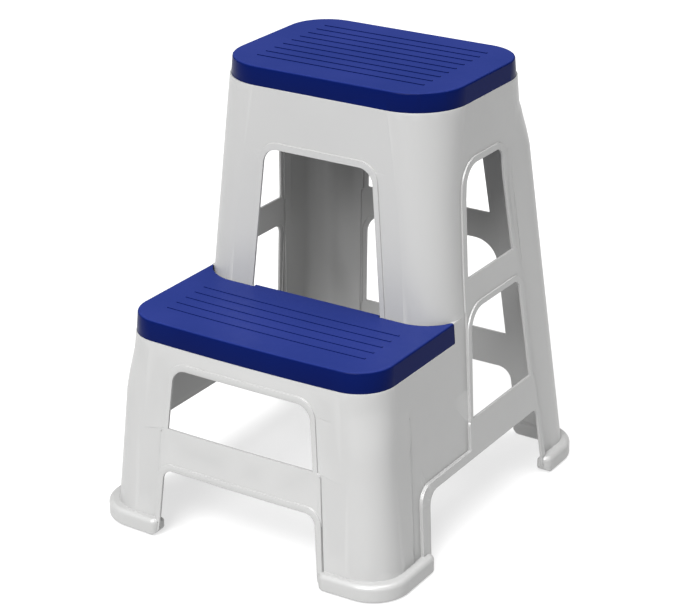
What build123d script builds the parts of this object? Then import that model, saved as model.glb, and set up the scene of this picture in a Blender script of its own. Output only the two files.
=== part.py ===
"""Two-step stool: one moulded grey body, two blue tread covers and four rubber feet.

Millimetres. X runs across the stool, -Y is the side the user climbs from, +Z is up and
the floor is z = 0. Everything is symmetric about x = 0.
"""
import os

from build123d import *

os.makedirs("parts", exist_ok=True)

# ---- overall -------------------------------------------------------------------------
TOTAL_H = 480.0          # upper tread above the floor
STEP_H = 240.0           # lower tread above the floor
WALL = 2.8               # moulded wall
UP_LEDGE = 459.0         # ledge that carries the upper cover
LOW_LEDGE = 217.0        # ledge that carries the lower cover
NECK = 13.0              # how far the body rises inside each cover
BODY_FOOT = 1.0          # the shell stops this far above the floor, on its rubber feet
SILL = LOW_LEDGE + NECK + 1.0                # bottom of the tower's front window

# ---- side walls flare towards the floor: (height, half width, tower front corner radius) ----
FLARE = ((0.0, 176.5, 46.0), (LOW_LEDGE, 155.0, 46.0), (290.0, 147.4, 43.5),
         (360.0, 141.3, 44.5), (UP_LEDGE, 138.0, 57.0))
# ---- front and rear walls: place at their ledge, then growth per millimetre downwards -------
TOWER_FRONT_TOP, TOWER_FRONT_TAPER = -46.5, 0.042
REAR_TOP, REAR_TAPER = 156.0, 0.112
STEP_FRONT_TOP, STEP_FRONT_TAPER = -194.8, 0.068
STEP_BOW = 4.0                               # how far the step front bows forward
REAR_R = 46.0
STEP_R = 43.0

# ---- raised frames round the openings --------------------------------------------------
LAYER = 1.6              # each raised layer stands this far out of the one before
FRAME = 7.5              # width of a frame strip
POCKET = 2.6             # the inside follows a frame this far in from its edge

# ---- heights of the rails, the same all round -------------------------------------------
RAIL_1 = (244.0, 279.0)  # upper rail, bottom and top
RAIL_2 = (80.0, 125.0)   # lower rail, bottom and top
WINDOW_TOP = 395.0

# ---- feet --------------------------------------------------------------------------------
ROLL_H = 20.0                                # height of the rolled foot
ROLL_W, ROLL_Y0, ROLL_Y1, ROLL_R = 185.7, -216.7, 215.3, 43.0
ROLL_DEEP = 15.0         # from the outside of the roll to its inner face
FOOT_END = 13.0          # solid length at each end of a foot
LEG_ROUND = 11.0         # rounded bottom corner of a leg beside a gap
PAD_H = 9.0              # rubber foot height
PIN_D = 5.0

# ---- covers --------------------------------------------------------------------------------
SKIN = 2.6               # cover wall
FIT = 0.4                # clearance between cover and body
EDGE = 2.4               # rounding of the tread edge
LINE_W, LINE_H, LINE_PITCH = 2.2, 0.9, 16.2  # anti-slip lines
HOOK_W, HOOK_T = 12.0, 2.4


def along_flare(z, column):
    for low, high in zip(FLARE, FLARE[1:]):
        if z <= high[0] or high is FLARE[-1]:
            k = (z - low[0]) / (high[0] - low[0])
            return low[column] + (high[column] - low[column]) * k


def half_w(z):
    return along_flare(z, 1)


def front_r(z):
    return along_flare(z, 2)


def tower_front(z):
    return TOWER_FRONT_TOP - (UP_LEDGE - z) * TOWER_FRONT_TAPER


def rear(z):
    return REAR_TOP + (UP_LEDGE - z) * REAR_TAPER


def step_front(z):
    return STEP_FRONT_TOP - (LOW_LEDGE - z) * STEP_FRONT_TAPER


def outline(z, w, y0, y1, r0, r1, bow=0.01):
    """Plan outline at height z: half width w, from a bowed front edge y0 back to y1."""
    with BuildSketch(Plane.XY.offset(z)) as sk:
        with BuildLine():
            ThreePointArc((-w, y0 + bow), (0, y0), (w, y0 + bow))
            Polyline((w, y0 + bow), (w, y1), (-w, y1), (-w, y0 + bow))
        make_face()
        fillet(sk.vertices().sort_by(Axis.Y)[:2], r0)
        fillet(sk.vertices().sort_by(Axis.Y)[-2:], r1)
    return sk.sketch


def taper(*sections):
    with BuildPart() as solid:
        add(sections)
        loft(ruled=True)
    return solid.part


def levels(z0, z1):
    """z0, z1 and every change of flare between them."""
    return [z0] + [z for z, _, _ in FLARE if z0 < z < z1] + [z1]


def tower(z0, z1, grow=0.0):
    return taper(*[outline(z, half_w(z) + grow, tower_front(z) - grow, rear(z) + grow,
                           front_r(z) + grow, REAR_R + grow) for z in levels(z0, z1)])


def base(z0, z1, grow=0.0):
    return taper(*[outline(z, half_w(z) + grow, step_front(z) - grow, rear(z) + grow,
                           STEP_R + grow, REAR_R + grow, STEP_BOW) for z in levels(z0, z1)])


def skin(grow):
    """Tower standing on the base, everything grown outwards."""
    with BuildPart() as solid:
        add(base(BODY_FOOT, LOW_LEDGE, grow))
        add(tower(LOW_LEDGE, UP_LEDGE, grow))
    return solid.part


def block(x0, x1, y0, y1, z0, z1):
    with BuildPart() as solid:
        with Locations(((x0 + x1) / 2, (y0 + y1) / 2, (z0 + z1) / 2)):
            Box(x1 - x0, y1 - y0, z1 - z0)
    return solid.part


# ---- corner columns: rounded, swelling out of the four corners ----------------------------
SWELL_STEPS = 8          # slices in the curved shoulder at the top of a column
# each level is (height, stand-out sideways, stand-out to front or rear, outer radius)
FRONT_COLUMN = ((BODY_FOOT, 1.0, 3.6, 42.0), (150.0, 0.9, 0.8, 34.0), (214.0, -0.8, -1.0, 42.0))
REAR_COLUMN = ((BODY_FOOT, 0.8, 0.5, 32.0), (LOW_LEDGE, 2.2, 1.3, 28.0), (368.0, 4.4, 2.6, 28.0),
               (450.0, -2.6, -1.6, 44.5))


def shoulder_levels(column):
    """The last two levels of a column joined by a smooth curve."""
    *low, full, top = column
    curve = []
    for i in range(SWELL_STEPS + 1):
        t = i / SWELL_STEPS
        k = t * t * (3 - 2 * t)
        curve.append((full[0] + (top[0] - full[0]) * t,
                      *[a + (b - a) * k for a, b in zip(full[1:], top[1:])]))
    return [*low, *curve]


def post(column, y_face, toward, size, shrink, tuck):
    """Right-hand column; toward is -1 for a front corner and 1 for a rear one.

    Its faces run into the walls, tuck behind (or ahead of) the wall at their far ends.
    """
    with BuildPart() as solid:
        for z, out_x, out_y, r in shoulder_levels(column):
            x1 = half_w(z) + out_x - shrink
            y1 = y_face(z) + toward * (out_y - shrink)
            x_in, y_in = x1 - size, y1 - toward * size
            with BuildSketch(Plane.XY.offset(z)) as sk:
                with BuildLine():
                    Polyline((x_in, y_in), (half_w(z) - shrink + min(out_x, tuck), y_in), (x1, y1),
                             (x_in, y_face(z) + toward * (min(out_y, -0.3) - shrink)), close=True)
                make_face()
                corner = sk.vertices().sort_by_distance((x1, y1, z))[0]
                fillet(corner, r - shrink)
        loft(ruled=True)
    return solid.part


def corner_front(z):
    return step_front(z) + STEP_BOW * 0.62


def front_post(shrink=0.0):
    return post(FRONT_COLUMN, corner_front, -1, 66 - shrink, shrink, 0.9)


def rear_post(shrink=0.0):
    return post(REAR_COLUMN, rear, 1, 62 - shrink, shrink, -0.3)


# ---- openings and frames, drawn flat and pushed through a wall ----------------------------
def panel(z0, z1, low, high, r_left=0.0, r_right=0.0):
    """Flat four-sided outline: low and high are its two ends at z0 and z1."""
    with BuildLine() as edge:
        Polyline((low[0], z0), (high[0], z1), (high[1], z1), (low[1], z0), close=True)
    with BuildSketch() as sk:
        add(edge.line)
        make_face()
        top = sk.vertices().sort_by(Axis.Y)[-2:].sort_by(Axis.X)
        if r_left:
            fillet(top[0], r_left)
        top = sk.vertices().group_by(Axis.Y)[-1].sort_by(Axis.X)
        if r_right:
            fillet(top[-1], r_right)
    return sk.sketch


def through_y(face, y0, y1):
    with BuildPart() as solid:
        with BuildSketch(Plane.XZ.offset(-y1)):
            add(face)
        extrude(amount=y1 - y0)
    return solid.part


def both_sides(face):
    """Cut or pad for the right-hand wall and its mirror image."""
    with BuildPart() as solid:
        with BuildSketch(Plane.YZ.offset(110)):
            add(face)
        extrude(amount=120)
        mirror(about=Plane.YZ)
    return solid.part


def on_step(face):
    return through_y(face, -260, -120)


def on_tower(face):
    return through_y(face, -90, -20)


def on_rear(face):
    return through_y(face, 100, 260)


def sym(z0, z1, w0, w1, r, grow=0.0, up=0.0):
    """Window symmetric about x = 0, w0 wide at z0 and w1 at z1, grown for a frame."""
    return panel(z0, z1 + up, (-w0 - grow, w0 + grow), (-w1 - grow, w1 + grow),
                 r + grow, r + grow)


def flared(face, low, high):
    """Gap outline widened at the floor, which rounds the bottom corners of both legs."""
    with BuildSketch() as sk:
        add(face)
        for edge, out in ((low, -1), (high, 1)):
            with BuildSketch(mode=Mode.PRIVATE) as corner:
                with Locations((edge + out * (LEG_ROUND / 2 - 1), LEG_ROUND / 2)):
                    Rectangle(LEG_ROUND + 2, LEG_ROUND + 2)
                with Locations((edge + out * LEG_ROUND, BODY_FOOT + LEG_ROUND)):
                    Circle(LEG_ROUND, mode=Mode.SUBTRACT)
            add(corner.sketch)
    return sk.sketch


OPENINGS = (
    on_step(sym(RAIL_2[1] + 1.5, 195, 90, 83.5, 17)),
    on_step(flared(sym(-1, RAIL_2[0], 101, 94, 12), -100, 100)),
    on_tower(sym(SILL, WINDOW_TOP, 80.5, 65.5, 17)),
    on_rear(sym(RAIL_1[1], WINDOW_TOP, 79.5, 68, 15)),
    on_rear(sym(RAIL_2[1] + 3, RAIL_1[0], 94, 84, 28)),
    on_rear(flared(sym(-1, RAIL_2[0] + 4, 104, 98, 16), -103, 103)),
    both_sides(panel(276.6, 394, (2, 99), (11, 84.5), 22, 12)),
    both_sides(panel(126, 241, (-11, 115.5), (0.8, 104.5), 26, 12)),
    both_sides(flared(panel(-1, 82.5, (-116, 132.5), (-106.8, 125), 16, 10), -114.5, 131.5)),
)
# raised plates and frames: each layer lies on the one before
LAYERS = (
    ((on_step, sym(RAIL_2[1] - 9, 195, 91, 83.5, 17, 5.5, FRAME)),
     (on_step, sym(-1, RAIL_2[1] + 1.5, 107.5, 99, 6)),
     (on_tower, sym(LOW_LEDGE + 1, WINDOW_TOP, 82, 65.5, 17, 5.5, FRAME)),
     (on_rear, sym(RAIL_1[0], WINDOW_TOP, 83, 68, 15, FRAME, FRAME)),
     (on_rear, sym(-1, RAIL_1[1], 114, 90, 7)),
     (both_sides, panel(242, 401, (-8.5, 110), (2, 90.5), 30, 19)),
     (both_sides, panel(-1, 276.6, (-26, 146), (-4.6, 108), 7, 5)),
     (both_sides, panel(-1, 93, (-131, 143), (-122.8, 130), 20, 14))),
    ((on_step, sym(-1, RAIL_2[0] + FRAME, 107.1, 101.2, 19)),
     (on_rear, sym(RAIL_2[0], RAIL_1[0], 97, 84, 26, FRAME, FRAME - 1)),
     (on_rear, sym(-1, RAIL_2[1] + 3, 112, 103, 7)),
     (both_sides, panel(83.5, 247.2, (-20.5, 124.5), (-6.4, 112), 32, 18)),
     (both_sides, panel(-1, 126, (-27.5, 138), (-18, 124.5), 7, 5)),
     (both_sides, panel(-1, 92.6, (-130.6, 142), (-122.4, 129.6), 20, 14))),
)


# ---- feet: x and y where a right-hand foot ends beside the gaps -------------------------------
FOOT_FRONT = (100.6, -115.2)
FOOT_REAR = (103.8, 132.2)


def roll_outline(inset):
    return outline(0, ROLL_W - inset, ROLL_Y0 + inset, ROLL_Y1 - inset,
                   ROLL_R - inset, ROLL_R - inset, STEP_BOW)


def foot_plan(foot, outer, inner, end):
    """L-shaped band between two insets of the roll, stopping end short of the foot's ends."""
    x_end, y_end = foot
    toward = 1 if y_end > 0 else -1
    with BuildSketch() as sk:
        add(roll_outline(outer))
        add(roll_outline(inner), mode=Mode.SUBTRACT)
        with Locations((x_end + end + 100, y_end + toward * (end + 100))):
            Rectangle(200, 200, mode=Mode.INTERSECT)
    return sk.sketch


def foot_band(foot, outer, inner, end, z0, z1):
    with BuildPart() as solid:
        with BuildSketch(Plane.XY.offset(z0)):
            add(foot_plan(foot, outer, inner, end))
        extrude(amount=z1 - z0)
    return solid.part


def foot_roll(foot):
    """Rolled rim of a foot, its two ends rounded back to the leg."""
    with BuildPart() as solid:
        with BuildSketch(Plane.XY.offset(BODY_FOOT)) as sk:
            add(foot_plan(foot, 0, ROLL_DEEP, 0))
            y_sort = sk.vertices().sort_by(Axis.Y, reverse=foot[1] > 0)
            fillet([sk.vertices().sort_by(Axis.X)[:2].sort_by(Axis.Y, reverse=foot[1] > 0)[0],
                    y_sort[-2:].sort_by(Axis.X)[-1]], 9)
        extrude(amount=ROLL_H - BODY_FOOT)
        fillet(solid.edges().group_by(Axis.Z)[-1], 5)
        fillet(solid.edges().group_by(Axis.Z)[0], 3)
    return solid.part


def pin_places(foot):
    """Three pins along the middle of the rubber foot."""
    x_end, y_end = foot
    toward = 1 if y_end > 0 else -1
    m, run = ROLL_DEEP / 2, FOOT_END + 9
    bend = ROLL_R - (ROLL_R - m) * 0.7071
    y_out = ROLL_Y1 if y_end > 0 else ROLL_Y0 + STEP_BOW * 0.6
    return [(x_end + run, y_out - toward * m), (ROLL_W - bend, y_out - toward * bend),
            (ROLL_W - m, y_end + toward * run)]


def pair(part):
    """A right-hand piece together with its mirror image."""
    with BuildPart() as solid:
        add(part)
        mirror(about=Plane.YZ)
    return solid.part


# ---- necks under the covers -------------------------------------------------------------------
COVER_UP = dict(w=137.8, y0=-45.2, y1=154.6, r0=58.5, r1=47.5)
COVER_LOW = dict(w=154.6, y0=-193.4, y1=60.0, r0=41.5, r1=10.0, bow=STEP_BOW)
HORN_Y = -31.0


def shrunk(z, c, d):
    return outline(z, c["w"] - d, c["y0"] + d, c["y1"] - d, c["r0"] - d, c["r1"] - d,
                   c.get("bow", 0.01))


def cover_block(c, d, z0, z1):
    with BuildPart() as solid:
        with BuildSketch(Plane.XY.offset(z0)):
            add(shrunk(0, c, d))
        extrude(amount=z1 - z0)
    return solid.part


def up_neck(d, z0, z1):
    return cover_block(COVER_UP, SKIN + FIT + d, z0, z1)


def low_neck(d, z0, z1):
    with BuildPart() as solid:
        add(cover_block(COVER_LOW, SKIN + FIT + d, z0, z1))
        add(block(-200, 200, -250, HORN_Y - SKIN - FIT - d, z0, z1), mode=Mode.INTERSECT)
    return solid.part


def slot_places_up():
    return [(x, y, 0) for x in (-68, 68) for y in (-37, 146)] + [(-129.5, 85, 90), (129.5, 85, 90)]


def slot_places_low():
    return [(x, -184, 0) for x in (-100, -20, 20, 100)] + [(-146, -100, 90), (146, -100, 90)]


def slots(places, z):
    with BuildPart() as solid:
        for x, y, turn in places:
            with Locations(Location((x, y, z), (0, 0, turn))):
                Box(HOOK_W + 4, HOOK_T + 3.2, 12)
    return solid.part


def deck_ribs(xs, ys, x_lim, y_lim, z0, z1):
    """Grid of stiffening ribs hanging under a deck."""
    with BuildPart() as solid:
        for x in xs:
            add(block(x - 1.1, x + 1.1, y_lim[0], y_lim[1], z0, z1))
        for y in ys:
            add(block(-x_lim, x_lim, y - 1.1, y + 1.1, z0, z1))
    return solid.part


UP_DECK, LOW_DECK = UP_LEDGE + NECK, LOW_LEDGE + NECK

with BuildPart() as body:
    add(skin(0))
    for column in (front_post(), rear_post()):
        add(pair(column))
    # side wall carried forward behind the ends of the lower cover
    with BuildPart() as shoulder:
        add(base(LOW_LEDGE, LOW_LEDGE + 22))
        add(block(-200, 200, HORN_Y + 0.6, 20, LOW_LEDGE, LOW_LEDGE + 22), mode=Mode.INTERSECT)
    add(shoulder.part)
    for i, layer in enumerate(LAYERS):
        with BuildPart() as pads:
            for place, face in layer:
                add(place(face))
            add(skin(LAYER * (i + 1)), mode=Mode.INTERSECT)
        add(pads.part)
    add(up_neck(0, UP_LEDGE - 2, UP_DECK))
    add(low_neck(0, LOW_LEDGE - 2, LOW_DECK))
    # hollow inside
    add(base(-1, LOW_LEDGE - WALL, -WALL), mode=Mode.SUBTRACT)
    add(tower(LOW_LEDGE - 15, UP_LEDGE - WALL, -WALL), mode=Mode.SUBTRACT)
    add(up_neck(WALL, UP_LEDGE - 10, UP_DECK - WALL), mode=Mode.SUBTRACT)
    with BuildPart() as low_neck_hollow:
        add(low_neck(WALL, LOW_LEDGE - 10, LOW_DECK - WALL))
        add(tower(LOW_LEDGE - 12, LOW_DECK), mode=Mode.SUBTRACT)
    add(low_neck_hollow.part, mode=Mode.SUBTRACT)
    for column in (front_post(WALL), rear_post(WALL)):
        add(pair(column), mode=Mode.SUBTRACT)
    for i, layer in enumerate(LAYERS):
        with BuildPart() as pockets:
            for place, face in layer:
                add(place(offset(face, amount=-POCKET)))
            add(skin(LAYER * (i + 1) - WALL), mode=Mode.INTERSECT)
        add(pockets.part, mode=Mode.SUBTRACT)
    # rolled feet with a channel for the rubber
    for foot in (FOOT_FRONT, FOOT_REAR):
        add(pair(foot_roll(foot)))
        add(pair(foot_band(foot, WALL, ROLL_DEEP - WALL, FOOT_END, -1, ROLL_H - WALL)),
            mode=Mode.SUBTRACT)
    for cut in OPENINGS:
        add(cut, mode=Mode.SUBTRACT)
    # shelves that the rubber feet press against, with a hole for each pin
    for foot in (FOOT_FRONT, FOOT_REAR):
        add(pair(foot_band(foot, WALL / 2, ROLL_DEEP - WALL / 2, FOOT_END - WALL / 2,
                           PAD_H + 0.3, PAD_H + 2.8)))
    # stiffening ribs under both decks
    with BuildPart() as up_deck_ribs:
        add(deck_ribs((-90, -45, 0, 45, 90), (-5, 55, 115), 134, (-40, 150),
                      UP_DECK - WALL - 9, UP_DECK - WALL + 1))
        add(up_neck(1, UP_LEDGE - 10, UP_DECK), mode=Mode.INTERSECT)
    add(up_deck_ribs.part)
    with BuildPart() as low_deck_ribs:
        add(deck_ribs((-120, -80, -40, 0, 40, 80, 120), (-160, -120, -80), 149, (-188, -58),
                      LOW_DECK - WALL - 9, LOW_DECK - WALL + 1))
        add(low_neck(1, LOW_LEDGE - 10, LOW_DECK), mode=Mode.INTERSECT)
    add(low_deck_ribs.part)
    add(slots(slot_places_up(), UP_DECK - 2), mode=Mode.SUBTRACT)
    add(slots(slot_places_low(), LOW_DECK - 2), mode=Mode.SUBTRACT)
    for foot in (FOOT_FRONT, FOOT_REAR):
        for side in (1, -1):
            with Locations([(side * x, y, PAD_H + 1.5) for x, y in pin_places(foot)]):
                Cylinder(PIN_D / 2 + 0.2, 8, mode=Mode.SUBTRACT)


# ---- tread covers ------------------------------------------------------------------------------
def tread_lines(z, rows, half, bow):
    """Raised anti-slip lines across a tread."""
    with BuildPart() as solid:
        for y in rows:
            with BuildSketch(Plane.XY.offset(z)):
                with BuildLine() as line:
                    ThreePointArc((-half, y + bow), (0, y), (half, y + bow))
                trace(lines=line.line, line_width=LINE_W)
            extrude(amount=LINE_H)
    return solid.part


def hook(x, y, turn, z0, z1):
    """Snap hook reaching down through a slot, its barb facing outwards."""
    with BuildPart() as solid:
        with BuildSketch(Plane.YZ) as sk:
            with BuildLine():
                Polyline((-HOOK_T / 2, z1), (HOOK_T / 2, z1), (HOOK_T / 2, z0),
                         (-HOOK_T / 2, z0), (-HOOK_T / 2 - 1.3, z0 + 2.5),
                         (-HOOK_T / 2, z0 + 2.5), close=True)
            make_face()
        extrude(amount=HOOK_W / 2, both=True)
    return Location((x, y, 0), (0, 0, turn)) * solid.part


def cover_shell(c, z0, z1):
    """Tapered rounded tray, open below, before its cut-outs."""
    with BuildPart() as solid:
        add(taper(shrunk(z0, c, 0), shrunk(z1, c, 1.8)))
        fillet(solid.edges().group_by(Axis.Z)[-1], EDGE)
    return solid.part


with BuildPart() as upper_cover:
    add(cover_shell(COVER_UP, UP_LEDGE, TOTAL_H - LINE_H))
    add(cover_block(COVER_UP, SKIN, UP_LEDGE - 1, UP_DECK + 0.3), mode=Mode.SUBTRACT)
    add(taper(shrunk(UP_DECK, COVER_UP, SKIN), shrunk(TOTAL_H - LINE_H - SKIN, COVER_UP, SKIN + 1.6)),
        mode=Mode.SUBTRACT)
    with BuildPart() as up_ribs:
        add(deck_ribs((-110, -66, -22, 22, 66, 110), (-12, 32, 76, 120), 134, (-41, 150),
                      UP_DECK + 0.3, TOTAL_H - LINE_H - 1))
        add(cover_block(COVER_UP, SKIN - 1, UP_DECK, TOTAL_H), mode=Mode.INTERSECT)
    add(up_ribs.part)
    add(tread_lines(TOTAL_H - LINE_H, [121.3 - LINE_PITCH * k for k in range(9)], 101, 0.01))
    for x, y, turn in slot_places_up():
        face = {(-37): 0, 146: 180}.get(y, 90 if x > 0 else -90)
        add(hook(x, y, face, UP_DECK - WALL - 4, TOTAL_H - LINE_H - 1))

with BuildPart() as lower_cover:
    add(cover_shell(COVER_LOW, LOW_LEDGE, STEP_H - LINE_H))
    add(block(-200, 200, -250, HORN_Y, 0, 300), mode=Mode.INTERSECT)
    with BuildPart() as tower_room:
        add(tower(LOW_LEDGE - 5, STEP_H + 5, LAYER + 0.4))
        add(block(-78, 78, -80, tower_front(STEP_H) + WALL, SILL + 0.4, STEP_H + 5),
            mode=Mode.SUBTRACT)
    add(tower_room.part, mode=Mode.SUBTRACT)
    add(low_neck(-FIT, LOW_LEDGE - 1, LOW_DECK + 0.3), mode=Mode.SUBTRACT)
    with BuildPart() as low_room:
        add(low_neck(-FIT, LOW_DECK, STEP_H - LINE_H - SKIN))
        add(tower(LOW_LEDGE - 5, STEP_H + 5, LAYER + 0.4 + SKIN), mode=Mode.SUBTRACT)
    add(low_room.part, mode=Mode.SUBTRACT)
    with BuildPart() as low_ribs:
        add(deck_ribs((-110, -60, 0, 60, 110), (-165, -140, -105, -75), 149, (-188, -62),
                      LOW_DECK + 0.3, STEP_H - LINE_H - 1))
        add(cover_block(COVER_LOW, SKIN - 1, LOW_DECK, STEP_H), mode=Mode.INTERSECT)
    add(low_ribs.part)
    add(tread_lines(STEP_H - LINE_H, [-89.5 - LINE_PITCH * k for k in range(5)], 121.5, 2.0))
    for x, y, turn in slot_places_low():
        face = 0 if turn == 0 else (90 if x > 0 else -90)
        add(hook(x, y, face, LOW_DECK - WALL - 4, STEP_H - LINE_H - 1))

# ---- rubber feet --------------------------------------------------------------------------------


def rubber_foot(foot):
    with BuildPart() as solid:
        add(foot_band(foot, WALL + FIT, ROLL_DEEP - WALL - FIT, FOOT_END + FIT, 0, PAD_H))
        fillet(solid.edges().group_by(Axis.Z)[0], 0.8)
        for x, y in pin_places(foot):
            with Locations((x, y, (PAD_H + 5) / 2 + 2)):
                Cylinder(PIN_D / 2, PAD_H + 1)
            with Locations((x, y, PAD_H + 4.2)):
                Cone(PIN_D / 2 + 0.7, PIN_D / 2 - 0.8, 2)
    return solid.part


def mirrored(part):
    with BuildPart() as solid:
        add(part)
        mirror(about=Plane.YZ, mode=Mode.REPLACE)
    return solid.part


pieces = {
    "body": body.part,
    "upper_cover": upper_cover.part,
    "lower_cover": lower_cover.part,
    "foot_front_right": rubber_foot(FOOT_FRONT),
    "foot_rear_right": rubber_foot(FOOT_REAR),
}
pieces["foot_front_left"] = mirrored(pieces["foot_front_right"])
pieces["foot_rear_left"] = mirrored(pieces["foot_rear_right"])
for name, piece in pieces.items():
    piece.label = name
    export_step(piece, f"parts/{name}.step")
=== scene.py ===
"""Two-step stool: looks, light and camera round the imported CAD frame. Metres."""
from math import cos, radians, sin

import bpy
from mathutils import Matrix, Vector


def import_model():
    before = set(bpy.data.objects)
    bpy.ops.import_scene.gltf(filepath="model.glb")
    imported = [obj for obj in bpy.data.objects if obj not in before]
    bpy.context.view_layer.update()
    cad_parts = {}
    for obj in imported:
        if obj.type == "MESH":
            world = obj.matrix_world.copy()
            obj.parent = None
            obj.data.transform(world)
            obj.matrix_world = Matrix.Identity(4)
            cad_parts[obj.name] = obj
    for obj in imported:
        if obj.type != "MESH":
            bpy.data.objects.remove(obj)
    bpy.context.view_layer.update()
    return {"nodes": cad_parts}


MM = 0.001
WELD_GAP = 0.01 * MM         # joins the doubled corners of the CAD mesh
EDGE_ANGLE = radians(35)     # edges sharper than this are rounded
BODY_ROUND, COVER_ROUND, RUBBER_ROUND = 0.4 * MM, 0.3 * MM, 0.4 * MM
FLOOR_SIZE = 14

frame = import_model()
nodes = frame["nodes"]


# ---- materials -----------------------------------------------------------------------------
class Shader:
    """A small wrapper that keeps a material's node calls short."""

    def __init__(self, name):
        self.mat = bpy.data.materials.new(name)
        self.mat.use_nodes = True
        self.tree = self.mat.node_tree
        self.bsdf = self.tree.nodes["Principled BSDF"]
        self.coords = self.node("ShaderNodeTexCoord")

    def node(self, kind, **inputs):
        n = self.tree.nodes.new(kind)
        for key, value in inputs.items():
            n.inputs[key.replace("_", " ")].default_value = value
        return n

    def link(self, a, b):
        self.tree.links.new(a, b)

    def set(self, **values):
        for key, value in values.items():
            self.bsdf.inputs[key.replace("_", " ")].default_value = value

    def noise(self, scale, detail=2.0):
        n = self.node("ShaderNodeTexNoise", Scale=scale, Detail=detail)
        self.link(self.coords.outputs["Object"], n.inputs["Vector"])
        return n.outputs["Fac"]

    def spread(self, fac, to_min, to_max, from_min=0.3, from_max=0.7):
        """Map a value on to the range to_min..to_max."""
        n = self.node("ShaderNodeMapRange", From_Min=from_min, From_Max=from_max,
                      To_Min=to_min, To_Max=to_max)
        self.link(fac, n.inputs["Value"])
        return n.outputs["Result"]

    def tones(self, fac, low, high):
        """Blend from one colour to another, a little apart, so that no face is quite flat."""
        n = self.node("ShaderNodeValToRGB")
        for element, position, colour in zip(n.color_ramp.elements, (0.3, 0.7), (low, high)):
            element.position = position
            element.color = (*colour, 1)
        self.link(fac, n.inputs["Fac"])
        return n.outputs["Color"]

    def mix(self, kind, fac, a, b):
        n = self.tree.nodes.new("ShaderNodeMix")
        n.data_type = kind
        first_a, first_b, result = {"RGBA": (6, 7, 2), "FLOAT": (2, 3, 0)}[kind]
        self.link(fac, n.inputs[0])
        self.link(a, n.inputs[first_a])
        self.link(b, n.inputs[first_b])
        return n.outputs[result]

    def bump(self, height, strength, distance):
        n = self.node("ShaderNodeBump", Strength=strength, Distance=distance)
        self.link(height, n.inputs["Height"])
        self.link(n.outputs["Normal"], self.bsdf.inputs["Normal"])


def grey_plastic():
    """Light grey polypropylene with a satin skin."""
    s = Shader("grey_polypropylene")
    s.set(Specular_IOR_Level=0.5)
    tone = s.tones(s.noise(7.0, 3.0), (0.262, 0.262, 0.260), (0.274, 0.274, 0.272))
    s.link(tone, s.bsdf.inputs["Base Color"])
    s.link(s.spread(s.noise(60.0, 4.0), 0.29, 0.36), s.bsdf.inputs["Roughness"])
    s.bump(s.noise(1500.0), 0.05, 0.0004)
    return s.mat


def blue_plastic():
    """Deep blue polypropylene, satin on the tread and glossier round the sides; its base colour is
    painted lighter on the tread and darker on the sides, painted light and painted shade on one
    plastic of one colour.
    """
    s = Shader("blue_polypropylene")
    s.set(Specular_IOR_Level=0.06, IOR=1.3)
    split = s.node("ShaderNodeSeparateXYZ")
    s.link(s.coords.outputs["Normal"], split.inputs[0])
    faces_up = s.spread(split.outputs["Z"], 0.0, 1.0, 0.55, 0.95)
    # painted shade and painted light: the sides get a darker blue and the up-facing tread a lighter
    # blue, standing in for how the light falls
    side_painted_shade = s.tones(s.noise(9.0, 3.0), (0.001, 0.004, 0.045), (0.001, 0.005, 0.052))
    tread_painted_light = s.tones(s.noise(9.0, 3.0), (0.010, 0.018, 0.098), (0.013, 0.021, 0.110))
    s.link(s.mix("RGBA", faces_up, side_painted_shade, tread_painted_light), s.bsdf.inputs["Base Color"])
    side_gloss = s.spread(s.noise(90.0, 4.0), 0.28, 0.32)
    tread_gloss = s.spread(s.noise(90.0, 4.0), 0.36, 0.44)
    s.link(s.mix("FLOAT", faces_up, side_gloss, tread_gloss), s.bsdf.inputs["Roughness"])
    s.bump(s.noise(1200.0), 0.05, 0.0004)
    return s.mat


def foot_rubber():
    """Matt black rubber."""
    s = Shader("foot_rubber")
    s.link(s.tones(s.noise(60.0, 3.0), (0.02, 0.02, 0.02), (0.05, 0.05, 0.05)),
           s.bsdf.inputs["Base Color"])
    s.link(s.spread(s.noise(300.0, 4.0), 0.7, 0.9), s.bsdf.inputs["Roughness"])
    s.bump(s.noise(900.0, 3.0), 0.2, 0.0004)
    return s.mat


def dress(obj, mat, rounding, clamp=True):
    for slot in obj.material_slots:
        slot.material = mat
    weld = obj.modifiers.new("weld", "WELD")
    weld.merge_threshold = WELD_GAP
    bevel = obj.modifiers.new("round edges", "BEVEL")
    bevel.width = rounding
    bevel.segments = 2
    bevel.limit_method = "ANGLE"
    bevel.angle_limit = EDGE_ANGLE
    bevel.use_clamp_overlap = clamp


grey, blue, rubber = grey_plastic(), blue_plastic(), foot_rubber()
for name, obj in nodes.items():
    if name == "body":
        # the narrowest faces of the moulding would clamp its rounding to nothing
        dress(obj, grey, BODY_ROUND, clamp=False)
    elif name.endswith("cover"):
        dress(obj, blue, COVER_ROUND)
    else:
        dress(obj, rubber, RUBBER_ROUND)


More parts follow.
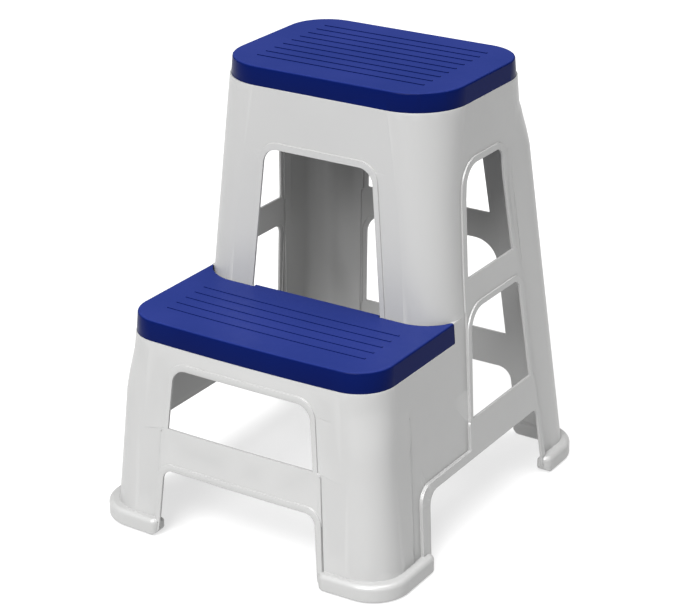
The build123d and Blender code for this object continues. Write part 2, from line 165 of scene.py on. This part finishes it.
# ---- floor, light and camera ---------------------------------------------------------------
def floor():
    bpy.ops.mesh.primitive_plane_add(size=FLOOR_SIZE)
    plane = bpy.context.object
    plane.name = "floor"
    s = Shader("floor_white")
    s.link(s.tones(s.noise(2.0), (0.21, 0.21, 0.21), (0.23, 0.23, 0.23)),
           s.bsdf.inputs["Base Color"])
    s.set(Roughness=0.9, Emission_Color=(1, 1, 1, 1), Emission_Strength=0.68)
    plane.data.materials.append(s.mat)


def sun(name, toward_light, spread, strength):
    """Very soft sunlight, like a large studio softbox; toward_light points at the lamp."""
    data = bpy.data.lights.new(name, "SUN")
    data.angle = radians(spread)
    data.energy = strength
    lamp = bpy.data.objects.new(name, data)
    bpy.context.scene.collection.objects.link(lamp)
    lamp.rotation_euler = Vector(toward_light).to_track_quat("Z", "Y").to_euler()


def camera():
    azimuth, elevation, roll = radians(32.74), radians(23.43), radians(-0.32)
    ahead = Vector((-sin(azimuth) * cos(elevation), cos(azimuth) * cos(elevation), -sin(elevation)))
    right = Vector((cos(azimuth), sin(azimuth), 0))
    up = right.cross(ahead)
    right_rolled = cos(roll) * right + sin(roll) * up
    up_rolled = cos(roll) * up - sin(roll) * right
    data = bpy.data.cameras.new("camera")
    data.lens = 113.5
    data.sensor_width = 36
    cam = bpy.data.objects.new("camera", data)
    bpy.context.scene.collection.objects.link(cam)
    turn = Matrix((right_rolled, up_rolled, -ahead)).transposed().to_4x4()
    cam.matrix_world = Matrix.Translation((1.1387, -1.7808, 1.1262)) @ turn
    bpy.context.scene.camera = cam


def world():
    studio = bpy.data.worlds.new("studio")
    studio.use_nodes = True
    background = studio.node_tree.nodes["Background"]
    background.inputs["Color"].default_value = (1, 1, 1, 1)
    background.inputs["Strength"].default_value = 0.12
    bpy.context.scene.world = studio


floor()
world()
sun("key", (0.08, -0.95, 0.9), 35, 6.2)
sun("top", (0.1, 0.0, 1.0), 45, 3.8)
sun("fill", (1.0, -0.3, 0.35), 40, 0.25)
camera()
bpy.context.scene.view_settings.view_transform = "Standard"
